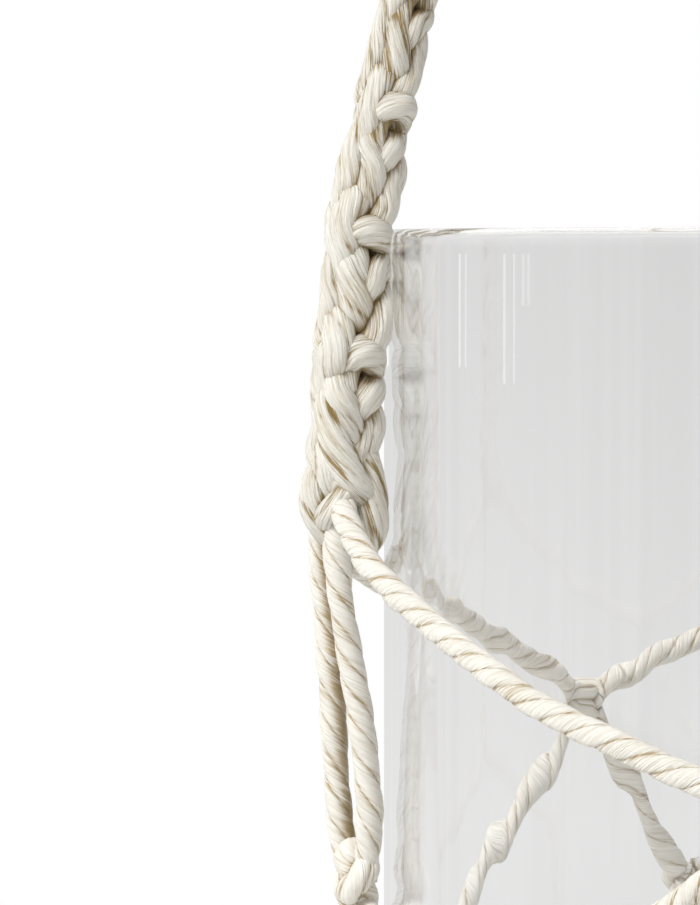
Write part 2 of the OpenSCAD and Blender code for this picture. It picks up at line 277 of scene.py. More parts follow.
def spun_cotton_group():
    """Spun cotton on a strand's own map: yarns run round the strand as ridges and fibres as fine
    streaks, both on a point that goes round a circle with the map, so there is no seam. A crevice is a
    groove that the piece brings with it, or a place that its own cords shut in, as ambient occlusion
    finds it. Gives the colour, from cream to ochre painted shade in the crevices, and the height of
    yarns and fibres."""
    group = bpy.data.node_groups.new("spun_cotton", "ShaderNodeTree")
    # Ochre is the colour of the painted shade in the crevices.
    for socket in ("Cream", "Shade", "Ochre"):
        group.interface.new_socket(socket, in_out="INPUT", socket_type="NodeSocketColor")
    for socket in ("Yarns", "Fibres", "Twist"):
        group.interface.new_socket(socket, in_out="INPUT", socket_type="NodeSocketFloat")
    group.interface.new_socket("Colour", in_out="OUTPUT", socket_type="NodeSocketColor")
    group.interface.new_socket("Height", in_out="OUTPUT", socket_type="NodeSocketFloat")
    given = new_node(group, "NodeGroupInput")
    around = new_node(group, "ShaderNodeUVMap", {"uv_map": "lay"})
    split = new_node(group, "ShaderNodeSeparateXYZ", Vector=around.outputs[0])
    u, v = split.outputs[0], split.outputs[1]
    turned = maths(group, "MULTIPLY_ADD", v, given.outputs["Twist"], u)
    angle = maths(group, "MULTIPLY", turned, 2 * math.pi)
    cosine, sine = maths(group, "COSINE", angle), maths(group, "SINE", angle)

    def streaks(size, along, detail):
        """Noise that is size lobes round the strand and drawn out along it."""
        x, y = maths(group, "MULTIPLY", cosine, size), maths(group, "MULTIPLY", sine, size)
        at = new_node(group, "ShaderNodeCombineXYZ", X=x, Y=y, Z=maths(group, "MULTIPLY", v, along))
        return new_node(group, "ShaderNodeTexNoise", Vector=at.outputs[0], Scale=1.0, Detail=detail,
                        Roughness=0.6).outputs["Fac"]

    fibre = streaks(given.outputs["Fibres"], 0.8, 4.0)
    soft = streaks(0.9, 0.8, 1.0)
    yarn_turn = maths(group, "MULTIPLY", angle, given.outputs["Yarns"])
    wander = maths(group, "MULTIPLY_ADD", streaks(1.6, 0.6, 2.0), 9.0, yarn_turn)
    yarn = maths(group, "ABSOLUTE", maths(group, "SINE", maths(group, "MULTIPLY", wander, 0.5)))
    ridge = maths(group, "MULTIPLY", maths(group, "POWER", yarn, 0.6), 0.5)
    height = maths(group, "MULTIPLY_ADD", fibre, 1.3, ridge)
    groove = new_node(group, "ShaderNodeAttribute", {"attribute_name": "nook"}).outputs["Fac"]
    # Ambient occlusion within 3 mm: how far the cords shut a place in, which steers the painted shade.
    open_air = new_node(group, "ShaderNodeAmbientOcclusion", {"samples": 6, "only_local": True},
                        Distance=0.003)
    shut_in = new_node(group, "ShaderNodeMapRange", Value=open_air.outputs["AO"], From_Min=0.93,
                       From_Max=0.42)
    depth = maths(group, "MAXIMUM", groove, shut_in.outputs[0])
    parted = new_node(group, "ShaderNodeMapRange", {"interpolation_type": "SMOOTHSTEP"}, Value=fibre,
                      From_Min=0.60, From_Max=0.36).outputs[0]
    patchy = maths(group, "MULTIPLY_ADD", parted, 0.9, maths(group, "MULTIPLY_ADD", soft, 1.3, -0.30))
    # Painted shade: ochre laid over the cream in grooves and shut-in places, broken into patches.
    crevice = new_node(group, "ShaderNodeMapRange", {"interpolation_type": "SMOOTHSTEP"},
                       Value=maths(group, "MULTIPLY", depth, patchy), From_Min=0.06, From_Max=0.46)
    line = maths(group, "MULTIPLY", parted, maths(group, "MULTIPLY_ADD", soft, 1.5, -0.35))
    shaded = new_node(group, "ShaderNodeMix", {"data_type": "RGBA", "clamp_factor": True},
                      n6=given.outputs["Cream"], n7=given.outputs["Shade"], Factor=line)
    coloured = new_node(group, "ShaderNodeMix", {"data_type": "RGBA"}, n6=shaded.outputs[2],
                        n7=given.outputs["Ochre"], Factor=crevice.outputs[0])
    result = new_node(group, "NodeGroupOutput", Colour=coloured.outputs[2])
    group.links.new(height, result.inputs["Height"])
    return group


spun_cotton = spun_cotton_group()


def cotton_material(name, yarns, fibres, twist, depth, cream=(0.85, 0.825, 0.765), shade=(0.66, 0.61, 0.50),
                    ochre=(0.44, 0.33, 0.17)):
    """Undyed cotton: matt, a little fuzzy at its edges, with yarns and fibres of its own count, and
    ochre painted shade in its crevices.
    """
    material, tree, shader = new_material(name, Roughness=0.92, Sheen_Weight=0.25, Sheen_Roughness=0.5,
                                          Specular_IOR_Level=0.2)
    spun = new_node(tree, "ShaderNodeGroup", {"node_tree": spun_cotton}, Cream=(*cream, 1), Shade=(*shade, 1),
                    Ochre=(*ochre, 1), Yarns=yarns, Fibres=fibres, Twist=twist)
    tree.links.new(spun.outputs["Colour"], shader.inputs["Base Color"])
    bump = new_node(tree, "ShaderNodeBump", Height=spun.outputs["Height"], Strength=0.8, Distance=depth)
    tree.links.new(bump.outputs[0], shader.inputs["Normal"])
    return material


net_cotton = cotton_material("laid_cotton_cord", 6, 4.5, -0.32, 0.00025)
neck_places = np.radians([170, 130, 90, 90, 50, 10, 210, 210, 250, 290, 330, 330])
neck_reach = np.array([4.5, 4.5, 1.73, 4.5, 4.5, 4.5, 4.5, 1.73, 4.5, 4.5, 1.73, 4.5])
neck_spots = np.stack([neck_reach * np.cos(neck_places), neck_reach * np.sin(neck_places)], 1)
loop_skins = []
for k in range(6):
    x = (k - 2.5) * loop_pitch
    middle = bar_z + ring_line - math.sqrt(ring_line**2 - x**2)
    reach = bar_d / 2 + loop_gap + cord_d / 2 + loop_slack
    w = np.radians(np.linspace(0, 180, 9))
    arch = np.stack([np.full(9, x), reach * np.cos(w), middle + reach * np.sin(w)], 1)
    front, back = neck_spots[k], neck_spots[k + 6]
    front_leg = [[*front, neck_z - 2], [*front, neck_z + 1],
                 [0.6 * x + 0.4 * front[0], 0.55 * reach + 0.45 * front[1], bar_z - 7]]
    back_leg = [[0.6 * x + 0.4 * back[0], -0.55 * reach + 0.45 * back[1], bar_z - 7],
                [*back, neck_z + 1], [*back, neck_z - 2]]
    way = np.vstack([front_leg, arch, back_leg])
    loop_skins.append(tube_skin(*laid_cord(smooth_line(way, 0.7), sides=12)))
make_piece("ring_loops", loop_skins, net_cotton, "cotton", "lantern", "ring_loops")

# Neck: the twelve ends lie side by side, and a thirteenth cord is wound tightly round them and its
# ends drawn in under the turns.
wrap_low, wrap_high = (np.array(c) * 1000 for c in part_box("gathering_wrap"))


def wound_cord(low, high, middle, turns):
    """A cord wound round the vertical axis: its middle stays at one radius and rises evenly, and at
    each end it draws in by 2.2 over a fifth of a turn, by the square of the share of that turn left."""
    s = np.linspace(0, 1, int(turns * 40))
    draw = np.clip(np.minimum(s, 1 - s) * turns / 0.2, 0, 1)
    radius = middle - 2.2 * (1 - draw)**2
    w = 2 * np.pi * turns * s
    z = low + cord_d / 2 + (high - low - cord_d) * s
    return laid_cord(np.stack([radius * np.cos(w), radius * np.sin(w), z], 1), sides=12, thick=2.95)


neck_skins = []
for x, y in neck_spots:
    line = np.linspace([x, y, wrap_low[2] + 2], [x, y, wrap_high[2] + 0.5], 24)
    neck_skins.append(tube_skin(*laid_cord(line, sides=12)))
make_piece("neck_cords", neck_skins, net_cotton, "cotton", "lantern", "neck_cords")
wound = wound_cord(wrap_low[2], wrap_high[2], wrap_high[0] - cord_d / 2, 7.2)
make_piece("gathering_wrap", [tube_skin(*wound)], net_cotton, "cotton", "lantern", "gathering_wrap")

# Arms: four cords each, tied in one long run of knots from the neck down past the rim. Tied cotton
# opens up, so each cord is fatter and softer than in a plain run.
arm_names = ["left", "back", "front"]
arm_turn = [-7, 103, 233]
rim_z = rim_height * 1000
glass_r = glass_high.x * 1000
glass_gap = 0.4
arm_d = 8.6
lay_r = glass_r + glass_gap + cord_d / 2
arm_r = glass_r + glass_gap + arm_d / 2
arm_top_r = 3.66
arm_bend = 3
arm_slim = 0.76
arm_swell = 1.3
arm_cord_d = 4.0
knot_rise = 15.3
arm_low = rim_z - 33
arm_high = wrap_low[2] - 1
# One knot's two ways, each over two knots, as distance towards the glass, out to the near side, and down.
# The looping cord comes over from behind, runs down the outer side, crosses the front, turns round the
# inner side and comes forward once more. The carrying cord runs down the inner side, then the middle,
# and goes round behind.
looping_way = [(-0.6, -2.2, -1.9), (-0.9, -0.2, -0.9), (-1.2, 2.2, 0.5), (-1.5, 2.8, 3.2), (-1.8, 2.1, 6.6),
               (-2.1, 1.2, 10.0), (-2.2, 0.9, 13.4), (-2.5, 0.2, 16.2), (-2.2, 0.5, 18.6), (-1.0, 2.2, 20.0),
               (0.9, 3.2, 19.3), (2.8, 2.4, 19.7), (3.5, 0.5, 20.9), (3.0, -1.2, 22.3), (3.5, 0.0, 23.7),
               (3.0, 1.6, 24.8), (1.8, 2.1, 25.9), (0.7, 0.8, 27.2), (-0.3, -1.6, 28.2)]
carrying_way = [(3.6, -0.4, 11.6), (3.7, 1.2, 14.4), (3.1, 2.1, 17.0), (1.5, 1.5, 19.3), (-0.3, 1.4, 21.2),
                (-0.5, 2.4, 24.0), (0.3, 2.7, 27.0), (0.8, 2.0, 30.0), (0.5, 0.2, 32.0), (-1.4, -1.7, 34.4),
                (-1.0, -2.7, 37.2), (1.9, -2.4, 39.8)]
knot_start = 1.2


def knotted_cords(i):
    """An arm's four cords: each kind of way twice, one knot apart, repeated down the arm with a small
    random shift at each place. The arm slims above the rim to arm_slim, and is drawn together where it
    leaves the neck and where it enters its end knot. Its middle leans out evenly from the neck, bends
    into the glass's wall by a hyperbola at the rim and stands off by arm_swell below it. Gives the
    cords' lines, the arm's middle at each place, and how slim it is there."""
    a = math.radians(180 - arm_turn[i])
    outward, along = np.array([math.cos(a), math.sin(a), 0]), np.array([math.sin(a), -math.cos(a), 0])
    lean = (arm_r - arm_top_r) / (arm_high - rim_z)
    whole = int((arm_high - arm_low) / knot_rise) + 5
    lines, axes, fats = [], [], []
    for way, first in ((looping_way, 0), (looping_way, 1), (carrying_way, 0), (carrying_way, 1)):
        one = np.array(way)
        lifts = (np.arange(-2, whole // 2 + 2) * 2 + first) * knot_rise
        places = (one[None] + lifts[:, None, None] * np.array([0, 0, 1])).reshape(-1, 3)
        places = places + chance.normal(0, 0.2, places.shape)
        inward, near, down = smooth_line(places, 0.25).T
        z = arm_high - down + knot_start
        keep = (z < arm_high) & (z > arm_low)
        keep &= np.maximum.accumulate(keep[::-1])[::-1] & np.maximum.accumulate(keep)
        inward, near, z = inward[keep], near[keep], z[keep]
        fine = np.where(z < rim_z + 50, 2, 4)
        pick = np.unique(np.cumsum(1 / fine).astype(int), return_index=True)[1]
        inward, near, z = inward[pick], near[pick], z[pick]
        foot = np.clip((arm_low + 9 - z) / 9, 0, 1)**1.5
        slim = arm_slim + (1 - arm_slim) * np.clip((rim_z + 26 - z) / 36, 0, 1)
        spread = 0.45 + 0.55 * np.clip((arm_high - z) / 14, 0, 1)
        tight = slim * spread * (1 - 0.75 * foot)
        fats.append(slim)
        leant = np.sqrt(np.clip(z - rim_z + arm_bend, 0, None)**2 + arm_bend**2) - arm_bend
        stood_off = 1.2 * foot + arm_swell * np.clip((rim_z - 8 - z) / 12, 0, 1)
        middle = arm_r + stood_off - lean * leant
        axes.append(middle[:, None] * outward + z[:, None] * np.array([0, 0, 1]))
        across = (inward * tight)[:, None] * outward + (near * tight)[:, None] * along
        lines.append(axes[-1] - across)
    return lines, axes, fats


def opened_cord(line, thick, sides=30, axis=None, lay=6.5, flat=0.0):
    """A cord that knotting has opened into one soft bundle: a tube whose radius dips by 0.15 in three
    shallow grooves and by 0.035 in nine more between its yarns, all turning left-handed once in each
    lay. Its thickness is one value or one for each station. Against an axis it is pressed flat: thinner
    towards the axis and wider across."""
    b, c = (v[:, None] for v in carried_frame(line))
    run = run_of(line)
    fat = (thick + np.zeros(len(line)))[:, None]
    thick = float(np.mean(thick))
    w = np.linspace(0, 2 * np.pi, sides, endpoint=False)
    turned = w - 2 * np.pi * (run[:, None] / (lay * thick) + chance.random())
    shake = chance.random(6) * 2 * np.pi
    along = run[:, None] / thick
    wander = 0.35 * np.sin(along * 1.1 + shake[0]) + 0.25 * np.sin(along * 2.3 + w + shake[1])
    strand = 1 - np.abs(np.cos(1.5 * (turned + wander)))
    yarn = 1 - np.abs(np.cos(4.5 * turned + 1.2 * np.sin(along * 0.9 + shake[2])))
    swell = 1 + 0.05 * np.sin(along * 1.4 + shake[3]) + 0.03 * np.sin(along * 3.1 + shake[4])
    radius = 0.5 * fat * swell * (1 - 0.15 * strand**3 - 0.035 * yarn**2)
    offset = radius[..., None] * (np.cos(w)[:, None] * b + np.sin(w)[:, None] * c)
    if axis is not None:
        away = line - axis
        away[:, 2] = 0
        away = (away / (np.linalg.norm(away, axis=1, keepdims=True) + 0.6))[:, None]
        offset = offset * (1 + flat) - away * (offset * away).sum(-1, keepdims=True) * 1.9 * flat
    v = run[None] / thick + chance.random() * 40
    # Deepest in the grooves between strands and yarns, which get painted shade.
    nook = np.clip(0.75 * strand**3 + 0.25 * yarn**3, 0, 1)
    return (line[:, None] + offset)[None], v, nook[None]


def deep_in(rings, axis, open_at, hidden_at):
    """How deep each corner lies in a knotted piece: by its distance from the piece's middle line, from
    none at the outside to one where the cords press together. This sets the painted shade there."""
    reach = np.linalg.norm((rings - axis[None, :, None])[..., :2], axis=-1)
    return np.clip((open_at - reach) / (open_at - hidden_at), 0, 1)


# Painted shade in an arm starts this far from its middle line and is full at the second.
deep_from = 3.7
deep_to = 1.9
# The arms' ochre, the colour of their painted shade, is darker than the net's.
arm_cotton = cotton_material("opened_cotton_cord", 9, 8.5, -0.12, 0.0006, cream=(0.85, 0.825, 0.76),
                             shade=(0.52, 0.43, 0.26), ochre=(0.31, 0.21, 0.07))
for i, name in enumerate(arm_names):
    skins = []
    for line, axis, fat in zip(*knotted_cords(i)):
        rings, v, nook = opened_cord(line, arm_cord_d * fat, axis=axis, flat=0.13)
        # Painted shade: in each cord's own grooves, and more where the arm's cords press together.
        depth = 0.45 * nook + deep_in(rings, axis, deep_from, deep_to)
        skins.append(tube_skin(rings, v, np.clip(depth, 0, 1)))
    make_piece("arm_" + name, skins, arm_cotton, "cotton", "lantern", "arm_" + name)

# End knots: below the rim each arm ends in one large knot. A loop bulges outwards, one cord turns
# tightly round the middle, one crosses over from the arm, and one closes the knot beside the glass.


def on_glass(points):
    """Places from rows of turn about the glass, drop below its rim, stand-off from where a cord lies
    on it, and sideways shift: out along the turn's radius, and across it."""
    turn, drop, off, shift = np.asarray(points, float).T
    a = np.radians(180 - turn)
    r = lay_r + off
    x, y = r * np.cos(a) + shift * np.sin(a), r * np.sin(a) - shift * np.cos(a)
    return np.stack([x, y, rim_z - drop], 1)


# Each of a knot's five cords: its thickness, and its places as distance out from the glass, shift
# across and drop.
end_knot_ways = [
    (4.0, [(4.6, 0.3, 24), (5.8, 0, 26.5), (7.8, -0.5, 29), (9.2, -0.8, 32), (9.2, -0.9, 35),
           (7.6, -0.6, 37.6), (5.5, 0, 38), (4, 1.5, 36.5)]),
    (3.4, [(4.4, -0.6, 31.4), (5.4, -2.6, 32.4), (7.2, -3.4, 34.2), (8.2, -1.8, 35.8), (7.4, 0.6, 36.2)]),
    (4.2, [(6.3, -1.6, 18), (7.6, -2.4, 22), (7.0, -3.1, 26.5), (5.2, -3.3, 30.4), (3.7, -2.6, 32.4),
           (2.4, -0.6, 33.4)]),
    (4.0, [(3.6, 0.2, 25), (3.4, -1.2, 28.2), (2.7, -2.0, 31.4), (2.3, -2.2, 34.9), (2.6, -1.4, 38.2),
           (3.9, -0.2, 40.3), (5.6, 0.8, 40.6), (6.5, 1.5, 39)]),
    (4.0, [(4.5, 2.0, 24), (5.8, 2.6, 28), (6.0, 2.6, 32), (4.6, 2.4, 36), (3.6, 1.6, 39)]),
]
for i, name in enumerate(arm_names):
    skins = []
    for thick, way in end_knot_ways:
        from_glass = lay_r - glass_r
        places = [(arm_turn[i], drop, out - from_glass, shift) for out, shift, drop in way]
        line = smooth_line(on_glass(places), 0.5)
        skins.append(tube_skin(*opened_cord(line, thick)))
    make_piece("end_knot_" + name, skins, arm_cotton, "cotton", "lantern", "end_knot_" + name)

# Side cords: from each end knot one cord goes each way round the glass, sagging a little, to meet
# its neighbour's in a small knot. Three of the six have their own way, by arm and direction, as rows
# of turn, drop, stand-off and shift, and the others share a plain one.
side_turn = [52, 168, 293]
side_drop = 65.0
side_cord_ways = {
    (0, -1): [(-6.5, 32.5, 3.6, 0), (-9.4, 34.2, 4.4, 0), (-13, 38.2, 3.8, 0), (-17.5, 42.3, 2.3, 0),
              (-25, 46.8, 0.5, 0), (-35, 51.8, 0.1, 0), (-42.5, 55.6, 0.1, 0), (-52, 59.5, 0.1, 0),
              (-58, 62.2, 0.1, 0), (-65.4, 64.9, 0.4, 0)],
    (0, 1): [(-3, 38, 3.6, 0), (3, 42, 2.2, 0), (11, 45, 0.5, 0), (24.6, 49.7, 0.1, 0),
             (38.7, 56.4, 0.1, 0), (50.3, 63.4, 0.3, 0)],
    (1, -1): [(100, 39, 3.8, 0), (93, 43.5, 2.4, 0), (85, 47.5, 0.4, 0), (66.5, 57.2, 0.1, 0),
              (60.3, 59.9, 0.1, 0), (53.6, 63.6, 0.3, 0)],
}
for i, name in enumerate(arm_names):
    skins = []
    for way in (-1, 1):
        target = side_turn[i] if way > 0 else side_turn[(i + 2) % 3] - (360 if i == 0 else 0)
        near = arm_turn[i]
        span = target - near
        plain = [(near + way * 2.5, 39, 3.6, 0), (near + way * 10, 43, 2.2, 0),
                 (near + way * 18, 46.6, 0.4, 0), (near + span * 0.55, 54.2, 0.1, 0),
                 (near + span * 0.8, 60.2, 0.1, 0), (target - way * 1.6, 63.9, 0.3, 0)]
        line = smooth_line(on_glass(side_cord_ways.get((i, way), plain)), 0.5)
        skins.append(tube_skin(*laid_cord(line)))
    make_piece("side_cords_" + name, skins, net_cotton, "cotton", "lantern", "side_cords_" + name)

# Down cords: two cords drop from each end knot, a little clear of the glass, into the knot below.
down_turn = [-7, 100, 233]
down_drop = [82, 76, 82]
for i, name in enumerate(arm_names):
    a, b, foot = arm_turn[i], down_turn[i], down_drop[i]
    outer = [(a + 0.6, 37, 6.6, 0), (a + 1.0, 42, 6.2, 0), (a + 1.2, 50, 5.6, 0),
             (b + 1.2, foot - 16, 4.6, 0), (b + 1.2, foot - 7, 3.9, 0), (b + 0.9, foot - 1, 2.8, 0)]
    inner = [(a - 1.2, 35, 4.8, 0), (a - 1.5, 41, 4.9, 0), (a - 1.6, 49, 4.0, 0),
             (b - 1.6, foot - 21, 1.9, 0), (b - 1.4, foot - 9, 0.8, 0), (b - 1.0, foot - 1, 1.4, 0)]
    skins = [tube_skin(*laid_cord(smooth_line(on_glass(way), 0.5))) for way in (outer, inner)]
    make_piece("down_cords_" + name, skins, net_cotton, "cotton", "lantern", "down_cords_" + name)

# Net knots: where two cords meet they are tied in one small hard knot. The cord in it is pulled
# thin, and each knot sits at its own turn.
net_knot_d = 6.6
net_knot_cord = 2.7
down_knot_d = 8.4
down_knot_cord = 3.6
down_knot_tall = 1.45
down_knot_rise = 1.2
low_turn = [24, 65, 133, 200, 263, 323]
low_drop = [98, 92, 95, 96, 96, 95]


def tight_knot(turn, drop, size, thick, spin, tall=1.0):
    """A clover knot: across by sin t + 2 sin 2t and cos t - 2 cos 2t, and in and out by -1.35 sin 3t,
    drawn up until its cord fills a ball of the given size, or one that many times as tall. It starts
    at its innermost place."""
    t = np.linspace(0, 2 * np.pi, 121) + np.pi / 6
    s = (size - thick) / 6
    x, y = s * (np.sin(t) + 2 * np.sin(2 * t)), s * (np.cos(t) - 2 * np.cos(2 * t))
    out = -1.35 * s * np.sin(3 * t)
    c, q = math.cos(spin), math.sin(spin)
    a = math.radians(180 - turn)
    outward, along = np.array([math.cos(a), math.sin(a), 0]), np.array([math.sin(a), -math.cos(a), 0])
    middle = (lay_r + (size - cord_d) / 2) * outward + np.array([0, 0, rim_z - drop])
    line = middle + (c * x - q * y)[:, None] * along + (q * x + c * y)[:, None] * np.array([0, 0, tall])
    return tube_skin(*laid_cord(line + (out - 0.5)[:, None] * outward, thick=thick, lay=3.6, sides=12))


for i, name in enumerate(arm_names):
    high_place = down_drop[i] - down_knot_rise
    knot = tight_knot(down_turn[i], high_place, down_knot_d, down_knot_cord, 0.5 + 1.3 * i, down_knot_tall)
    make_piece("down_knot_" + name, [knot], net_cotton, "cotton", "lantern", "down_knot_" + name)
    knot = tight_knot(side_turn[i], side_drop, net_knot_d, net_knot_cord, 0.2 + 1.1 * i)
    make_piece(f"side_knot_{i + 1}", [knot], net_cotton, "cotton", "lantern", f"side_knot_{i + 1}")
for k in range(6):
    knot = tight_knot(low_turn[k], low_drop[k], net_knot_d, net_knot_cord, 0.9 + 0.8 * k)
    make_piece(f"low_knot_{k + 1}", [knot], net_cotton, "cotton", "lantern", f"low_knot_{k + 1}")

# Net runs: from each side knot and down knot a cord goes each way to the lower row of knots, lying
# on the glass.
run_in = 1.4
run_sag = 0.9


def net_run(start, end):
    """A cord from one knot to another, each given as turn, drop and size. It starts and ends inside
    them, and goes straight across the glass with a sag of four times the share gone times the share
    left times run_sag."""
    way = 1 if end[0] > start[0] else -1
    s = np.linspace(0, 1, 6)
    first = np.array([start[0] + way * 0.8, start[1] + start[2] / 2 - run_in])
    last = np.array([end[0] - way * 1.0, end[1] - end[2] / 2 + run_in])
    turn = first[0] + (last[0] - first[0]) * s
    drop = first[1] + (last[1] - first[1]) * s + 4 * s * (1 - s) * run_sag
    off = 0.1 + 1.1 * (1 - s)**6 + 0.4 * s**6
    return tube_skin(*laid_cord(smooth_line(on_glass(np.stack([turn, drop, off, 0 * s], 1)), 0.5)))


for i, name in enumerate(arm_names):
    start = (side_turn[i], side_drop, net_knot_d)
    skins = [net_run(start, (low_turn[k], low_drop[k], net_knot_d)) for k in (2 * i, 2 * i + 1)]
    make_piece(f"side_knot_cords_{i + 1}", skins, net_cotton, "cotton", "lantern", f"side_knot_cords_{i + 1}")
    start = (down_turn[i], down_drop[i], down_knot_d)
    after, before = 2 * i, (2 * i + 5) % 6
    back = 360 if i == 0 else 0
    skins = [net_run(start, (low_turn[after], low_drop[after], net_knot_d)),
             net_run(start, (low_turn[before] - back, low_drop[before], net_knot_d))]
    make_piece("down_knot_cords_" + name, skins, net_cotton, "cotton", "lantern", "down_knot_cords_" + name)

# Base cords: a pair from each low knot runs down the glass, round its foot and in under it, where a
# winding like the neck's gathers all twelve.
glass_h = 200.0
foot_r = 4.0
under_drop = glass_h + glass_gap + cord_d / 2
corner = foot_r + glass_gap + cord_d / 2
base_low, base_high = (np.array(c) * 1000 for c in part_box("base_wrap"))
for k in range(6):
    skins = []
    w = np.radians(np.linspace(0, 90, 6))
    for shift in (-cord_d / 2 - 0.1, cord_d / 2 + 0.1):
        turn, drop = low_turn[k], low_drop[k]
        bend = np.stack([np.full(6, turn), under_drop - corner * (1 - np.sin(w)),
                         -corner * (1 - np.cos(w)), np.full(6, shift)], 1)
        down = [(turn, drop + 1.5, 1.2, shift * 0.5), (turn, drop + 6, 0.5, shift * 0.8),
                (turn, drop + 14, 0.1, shift), (turn + 0.4, 150, 0.1, shift * 1.15), (turn, 180, 0, shift)]
        under = [(turn, under_drop, -30, shift), (turn, under_drop, -55, shift * 0.95),
                 (turn, under_drop + 0.2, 7.5 - lay_r, shift * 0.9)]
        line = smooth_line(on_glass(np.vstack([down, bend, under])), 0.8)
        skins.append(tube_skin(*laid_cord(line, sides=12)))
    make_piece(f"base_cords_{k + 1}", skins, net_cotton, "cotton", "lantern", f"base_cords_{k + 1}")
wound = wound_cord(base_low[2], base_high[2], base_high[0] - cord_d / 2, 6.2)
make_piece("base_wrap", [tube_skin(*wound)], net_cotton, "cotton", "lantern", "base_wrap")

# Tassel: below the winding the twelve cords are unlaid into their yarns and combed out, then
# trimmed level.
tassel_low, tassel_high = (np.array(c) * 1000 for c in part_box("tassel"))
yarn_count = 260
yarn_rings = 10
golden_turn = 2.39996
bunch_r = 5.2


def combed_yarns():
    """Each yarn starts inside the winding and spreads as it falls, by the share fallen to the power
    0.8, with two waves of its own each way. It thins by the cube of the share fallen. Each comes a
    golden angle after the last, at the square root of its share of the count."""
    k = np.arange(yarn_count)[:, None]
    s = np.linspace(0, 1, yarn_rings)[None, :]
    share = np.sqrt((k + 0.5) / yarn_count)
    w = k * golden_turn + 0.35 * s
    spread = share * (bunch_r + (tassel_high[0] - 2.2 - bunch_r) * s**0.8)
    wave = chance.random((4, yarn_count, 1)) * 2 * np.pi
    x = spread * np.cos(w) + 0.7 * s * np.sin(5 * s + wave[0]) + 0.25 * s * np.sin(13 * s + wave[1])
    y = spread * np.sin(w) + 0.7 * s * np.sin(5 * s + wave[2]) + 0.25 * s * np.sin(13 * s + wave[3])
    length = tassel_high[2] + 3 - tassel_low[2] - 0.3 - 2.5 * chance.random((yarn_count, 1))**2
    z = tassel_high[2] + 3 - length * s
    thick = (0.85 - 0.35 * s**3) * (0.85 + 0.3 * chance.random((yarn_count, 1)))
    side = np.arange(4) * np.pi / 2
    ring = np.stack([x[..., None] + thick[..., None] * np.cos(side),
                     y[..., None] + thick[..., None] * np.sin(side), z[..., None] + 0 * side], -1)
    # Yarns nearer the middle of the bunch get more painted shade.
    nook = np.clip(0.55 - 0.5 * share, 0, 1)[..., None] + np.zeros((yarn_count, yarn_rings, 4))
    return tube_skin(ring, s * 22 + chance.random((yarn_count, 1)) * 60, nook)


tassel_cotton = cotton_material("combed_cotton", 3, 2.2, 0.1, 0.00015)
make_piece("tassel", [combed_yarns()], tassel_cotton, "cotton", "lantern", "tassel")

# Glass: one pressed and fire-polished cylinder, with a round rim, a thick floor and a soft foot. Its
# wall is very slightly uneven inside, which draws reflections out into upright streaks.
base_z = glass_low.z * 1000


def round_corner(middle, radius, start, end, count):
    """Places on an arc of a profile, from one angle in degrees to another."""
    w = np.radians(np.linspace(start, end, count))
    return np.stack([middle[0] + radius * np.cos(w), middle[1] + radius * np.sin(w)], 1)


def revolved(profile, around, wander):
    """A profile of (radius, height) carried round the vertical axis; wander shifts each radius by the
    turn. The profile starts and ends on the axis, where fans close it."""
    w = np.linspace(0, 2 * np.pi, around, endpoint=False)
    radius = profile[1:-1, 0, None] + wander(w)
    height = profile[1:-1, 1, None] + 0 * w
    rings = np.stack([radius * np.cos(w), -radius * np.sin(w), height], -1)[None]
    v = run_of(profile[1:-1])[None] / 10
    skin = list(tube_skin(rings, v, np.zeros(rings.shape[:3])))
    skin[0][-2:] = [[0, 0, profile[0, 1]], [0, 0, profile[-1, 1]]]
    return skin


wall = 2.5
floor_t = 6.0
cove_r = 4.0
inner_r = glass_r - wall
foot_places = 12
foot_arc = 9
wall_places = 30
rim_arc = 13
glass_profile = np.vstack([
    [[0, 0]], np.stack([np.linspace(2, glass_r - foot_r - 1, foot_places), np.zeros(foot_places)], 1),
    round_corner((glass_r - foot_r, foot_r), foot_r, -90, 0, foot_arc),
    np.stack([np.full(wall_places, glass_r),
              np.linspace(foot_r + 3, glass_h - wall / 2 - 1, wall_places)], 1),
    round_corner((glass_r - wall / 2, glass_h - wall / 2), wall / 2, 0, 180, rim_arc),
    np.stack([np.full(wall_places, inner_r),
              np.linspace(glass_h - wall / 2 - 1, floor_t + cove_r + 2, wall_places)], 1),
    round_corner((inner_r - cove_r, floor_t + cove_r), cove_r, 0, -90, 7),
    np.stack([np.linspace(inner_r - cove_r - 1, 2, foot_places), np.full(foot_places, floor_t)], 1),
    [[0, floor_t]]])
glass_profile[:, 1] += base_z
last_smooth = foot_places + foot_arc + wall_places + 9
inside = (np.arange(len(glass_profile) - 2) > last_smooth)[:, None]
ripples = chance.random(9) * 2 * np.pi


def glass_wander(w):
    """The wall inside runs in and out by hundredths of a millimetre: the sum of seven cosine waves,
    each with thirteen more crests round the glass than the one before, from nine, and less high."""
    waves = sum(0.016 / (1 + 0.5 * k) * np.cos((9 + 13 * k) * w + ripples[k]) for k in range(7))
    return np.where(inside, waves, 0)


clear, tree, shader = new_material("clear_glass", Base_Color=(0.988, 0.988, 0.988, 1), Roughness=0.0,
                                   IOR=1.5, Transmission_Weight=1.0)
path = new_node(tree, "ShaderNodeLightPath")
through = new_node(tree, "ShaderNodeBsdfTransparent", Color=(0.975, 0.975, 0.975, 1))
long_way = maths(tree, "GREATER_THAN", path.outputs["Ray Depth"], 7.0)
soft_light = maths(tree, "MAXIMUM", path.outputs["Is Shadow Ray"], path.outputs["Is Diffuse Ray"])
lets = maths(tree, "MAXIMUM", soft_light, long_way)
either = new_node(tree, "ShaderNodeMixShader", n0=lets, n1=shader.outputs[0], n2=through.outputs[0])
tree.links.new(either.outputs[0], tree.nodes["Material Output"].inputs["Surface"])
make_piece("glass", [revolved(glass_profile, 480, glass_wander)], clear, "glass", "lantern", "glass")

